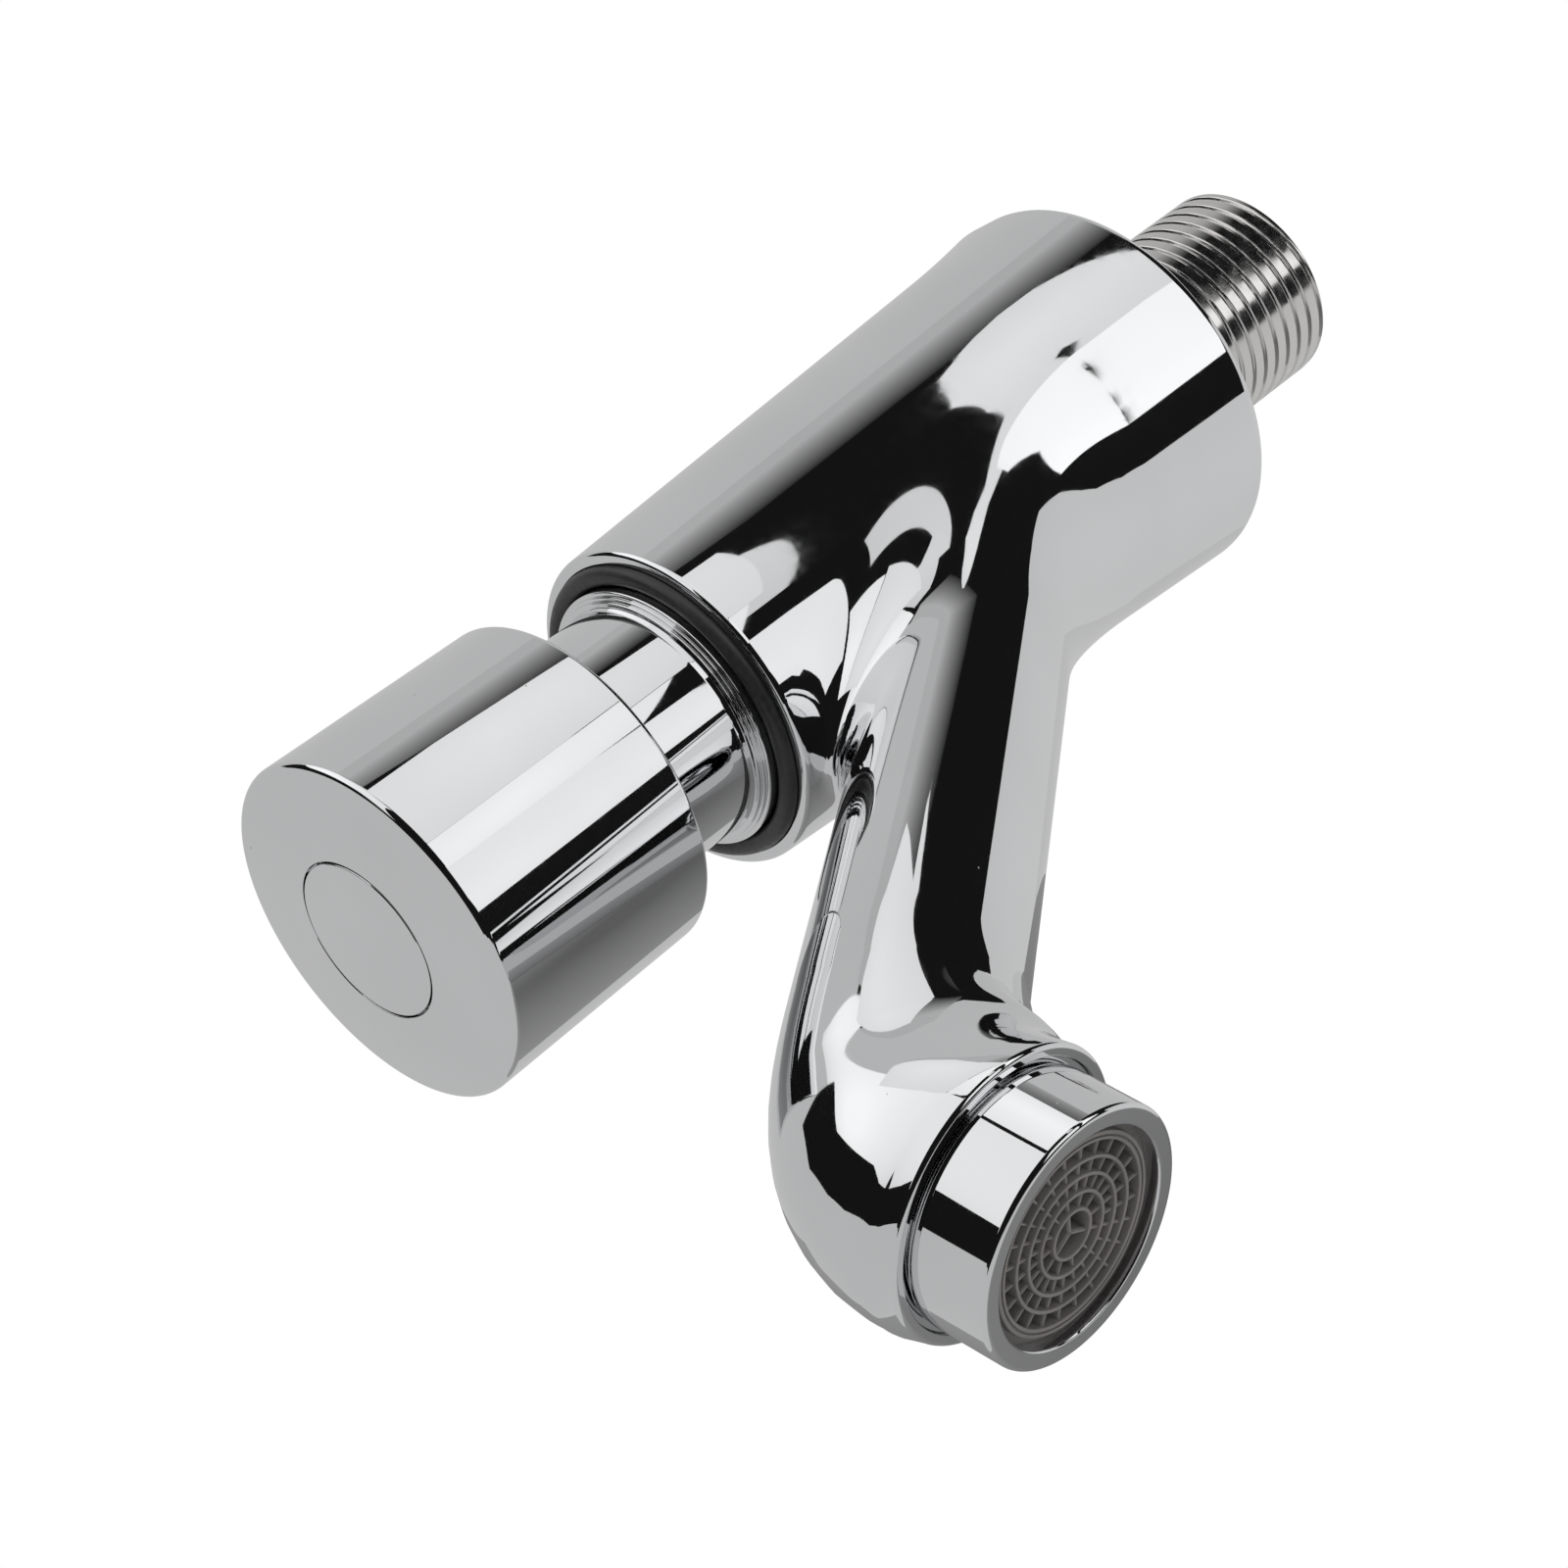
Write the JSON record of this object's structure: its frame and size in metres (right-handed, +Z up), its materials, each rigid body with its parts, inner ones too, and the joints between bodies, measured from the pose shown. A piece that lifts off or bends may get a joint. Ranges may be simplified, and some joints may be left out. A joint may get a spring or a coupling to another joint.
{
  "type": "push timed tap",
  "caption": "Wall-mounted push tap with timed flow: tapered barrel, sprung push button, angled spout with aerator and threaded inlet.",
  "frame": {"origin": "centre of the barrel's wall face, on the barrel's axis", "axes": "+Z up as mounted, +Y into the wall along the inlet thread, -Y out of the wall along the push button, +X to the right seen from in front"},
  "size_m": [0.0402, 0.1295, 0.0933],
  "materials": {
    "chrome_casting": "polished chrome plate on a casting",
    "chrome_turned": "polished chrome plate on turned brass",
    "chrome_thread": "chrome plate, worn thin on the thread",
    "black_rubber": "matt black rubber",
    "brass": "turned brass",
    "spring_steel": "stainless steel wire and sheet",
    "grey_plastic": "warm grey moulded plastic",
    "white_plastic": "white moulded plastic"
  },
  "bodies": {
    "tap": {"tap_body": "chrome_casting", "inlet_nipple": "chrome_thread", "inlet_strainer": "white_plastic", "cartridge_housing": "chrome_turned", "collar_o_ring": "black_rubber", "nose_o_ring": "black_rubber", "land_o_ring": "black_rubber", "valve_seat": "brass", "divider_o_ring": "black_rubber", "return_spring": "spring_steel", "gland_nut": "brass", "gland_o_ring": "black_rubber", "aerator_ring": "chrome_turned", "aerator_washer": "black_rubber", "aerator_insert": "grey_plastic", "jet_plate": "grey_plastic", "aerator_screen": "spring_steel"},
    "plunger": {"stem": "brass", "valve_holder": "brass", "seat_washer": "black_rubber", "valve_nut": "brass", "piston": "brass", "cup_seal": "black_rubber", "bleed_pin": "spring_steel", "piston_clip": "spring_steel", "push_button": "chrome_turned", "button_disc": "chrome_turned", "button_screw": "spring_steel"}
  },
  "joints": [
    {"name": "button_push", "type": "slide", "parent": "tap", "child": "plunger", "axis": [0, 1, 0], "range_m": [0, 0.008], "stiffness_N_per_m": 1500, "springref_m": -0.012, "deforming": ["return_spring"]}
  ]
}
